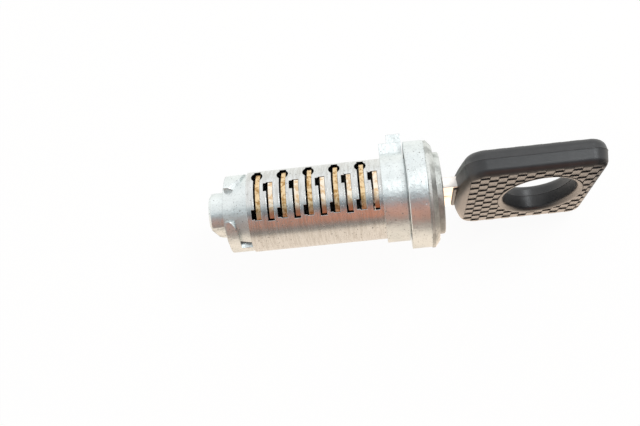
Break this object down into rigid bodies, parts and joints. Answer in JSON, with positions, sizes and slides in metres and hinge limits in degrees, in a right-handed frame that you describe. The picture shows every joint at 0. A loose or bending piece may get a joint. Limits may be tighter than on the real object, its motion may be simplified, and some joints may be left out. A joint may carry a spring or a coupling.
{
  "type": "ignition lock cylinder",
  "caption": "Vehicle ignition lock cylinder with sliding wafers, a flanged zinc plug, a face cap and its double-edged key with a moulded head.",
  "frame": {"origin": "on the lock's axis, at the rear seating face of the flange", "axes": "+X along the lock's axis towards the key, +Z along the way the wafers slide, in the plane of the key"},
  "size_m": [0.07, 0.0215, 0.032],
  "materials": {
    "zinc": "satin, as cast and zinc plated",
    "cap_metal": "matt, blasted",
    "steel": "bright spring steel",
    "brass": "rolled, cut edges",
    "blade_metal": "satin",
    "black_plastic": "matt, moulded"
  },
  "bodies": {
    "plug": {"plug_casting": "zinc", "face_cap": "cap_metal", "dust_shutter": "steel", "shutter_pin": "steel", "shutter_spring": "steel", "wafer_spring_01": "steel", "wafer_spring_02": "steel", "wafer_spring_03": "steel", "wafer_spring_04": "steel", "wafer_spring_05": "steel", "wafer_spring_06": "steel", "wafer_spring_07": "steel", "wafer_spring_08": "steel", "wafer_spring_09": "steel", "wafer_spring_10": "steel"},
    "key": {"key_blade": "blade_metal", "key_head": "black_plastic"},
    "wafer_01": {"wafer_01": "brass"},
    "wafer_02": {"wafer_02": "brass"},
    "wafer_03": {"wafer_03": "brass"},
    "wafer_04": {"wafer_04": "brass"},
    "wafer_05": {"wafer_05": "brass"},
    "wafer_06": {"wafer_06": "brass"},
    "wafer_07": {"wafer_07": "brass"},
    "wafer_08": {"wafer_08": "brass"},
    "wafer_09": {"wafer_09": "brass"},
    "wafer_10": {"wafer_10": "brass"}
  },
  "joints": [
    {"name": "key_slide", "type": "slide", "parent": "plug", "child": "key", "axis": [1, 0, 0], "range_m": [0, 0.0355]},
    {"name": "wafer_01_slide", "type": "slide", "parent": "plug", "child": "wafer_01", "axis": [0, 0, -1], "range_m": [0, 0.0006], "stiffness_N_per_m": 60, "springref_m": -0.002, "deforming": ["wafer_spring_01"]},
    {"name": "wafer_02_slide", "type": "slide", "parent": "plug", "child": "wafer_02", "axis": [0, 0, 1], "range_m": [0, 0.0006], "stiffness_N_per_m": 60, "springref_m": -0.002, "deforming": ["wafer_spring_02"]},
    {"name": "wafer_03_slide", "type": "slide", "parent": "plug", "child": "wafer_03", "axis": [0, 0, -1], "range_m": [0, 0.0006], "stiffness_N_per_m": 60, "springref_m": -0.002, "deforming": ["wafer_spring_03"]},
    {"name": "wafer_04_slide", "type": "slide", "parent": "plug", "child": "wafer_04", "axis": [0, 0, 1], "range_m": [0, 0.0006], "stiffness_N_per_m": 60, "springref_m": -0.002, "deforming": ["wafer_spring_04"]},
    {"name": "wafer_05_slide", "type": "slide", "parent": "plug", "child": "wafer_05", "axis": [0, 0, -1], "range_m": [0, 0.0006], "stiffness_N_per_m": 60, "springref_m": -0.002, "deforming": ["wafer_spring_05"]},
    {"name": "wafer_06_slide", "type": "slide", "parent": "plug", "child": "wafer_06", "axis": [0, 0, 1], "range_m": [0, 0.0006], "stiffness_N_per_m": 60, "springref_m": -0.002, "deforming": ["wafer_spring_06"]},
    {"name": "wafer_07_slide", "type": "slide", "parent": "plug", "child": "wafer_07", "axis": [0, 0, -1], "range_m": [0, 0.0006], "stiffness_N_per_m": 60, "springref_m": -0.002, "deforming": ["wafer_spring_07"]},
    {"name": "wafer_08_slide", "type": "slide", "parent": "plug", "child": "wafer_08", "axis": [0, 0, 1], "range_m": [0, 0.0006], "stiffness_N_per_m": 60, "springref_m": -0.002, "deforming": ["wafer_spring_08"]},
    {"name": "wafer_09_slide", "type": "slide", "parent": "plug", "child": "wafer_09", "axis": [0, 0, -1], "range_m": [0, 0.0006], "stiffness_N_per_m": 60, "springref_m": -0.002, "deforming": ["wafer_spring_09"]},
    {"name": "wafer_10_slide", "type": "slide", "parent": "plug", "child": "wafer_10", "axis": [0, 0, 1], "range_m": [0, 0.0006], "stiffness_N_per_m": 60, "springref_m": -0.002, "deforming": ["wafer_spring_10"]}
  ]
}
